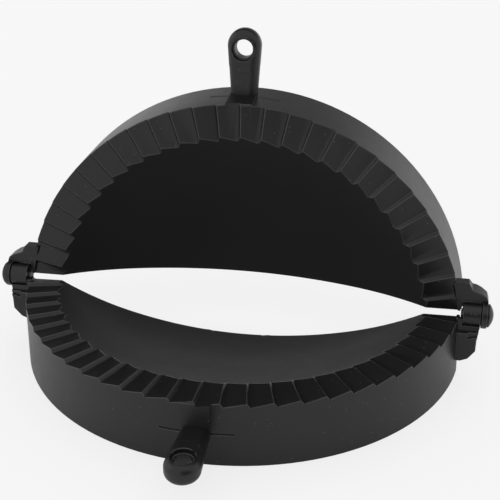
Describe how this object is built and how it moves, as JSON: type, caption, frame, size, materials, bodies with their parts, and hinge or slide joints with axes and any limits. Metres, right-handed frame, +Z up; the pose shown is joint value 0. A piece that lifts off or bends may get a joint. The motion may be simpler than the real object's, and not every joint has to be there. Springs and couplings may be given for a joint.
{
  "type": "empanada press",
  "caption": "Hand press for crimping filled turnovers: hinged half-round halves with a dish, a toothed rim and a handle.",
  "frame": {"origin": "middle of the standing press's footprint box, at the level of the surface it stands on", "axes": "+X along the hinge line, +Y towards the back, where the upper half opens, +Z up"},
  "size_m": [0.2106, 0.1402, 0.1342],
  "materials": {
    "shell": "moulded black plastic with a fine satin surface",
    "pin": "smooth black plastic",
    "collar": "black plastic"
  },
  "bodies": {
    "lower": {"lower_half": "shell", "left_hinge_pin": "pin", "right_hinge_pin": "pin", "left_pin_collar": "collar", "right_pin_collar": "collar"},
    "upper": {"upper_half": "shell"}
  },
  "joints": [
    {"name": "press_hinge", "type": "hinge", "parent": "lower", "child": "upper", "pos_m": [0, 0.03782, 0.02725], "axis": [-1, 0, 0], "range_deg": [-93.6, 86.4]}
  ]
}
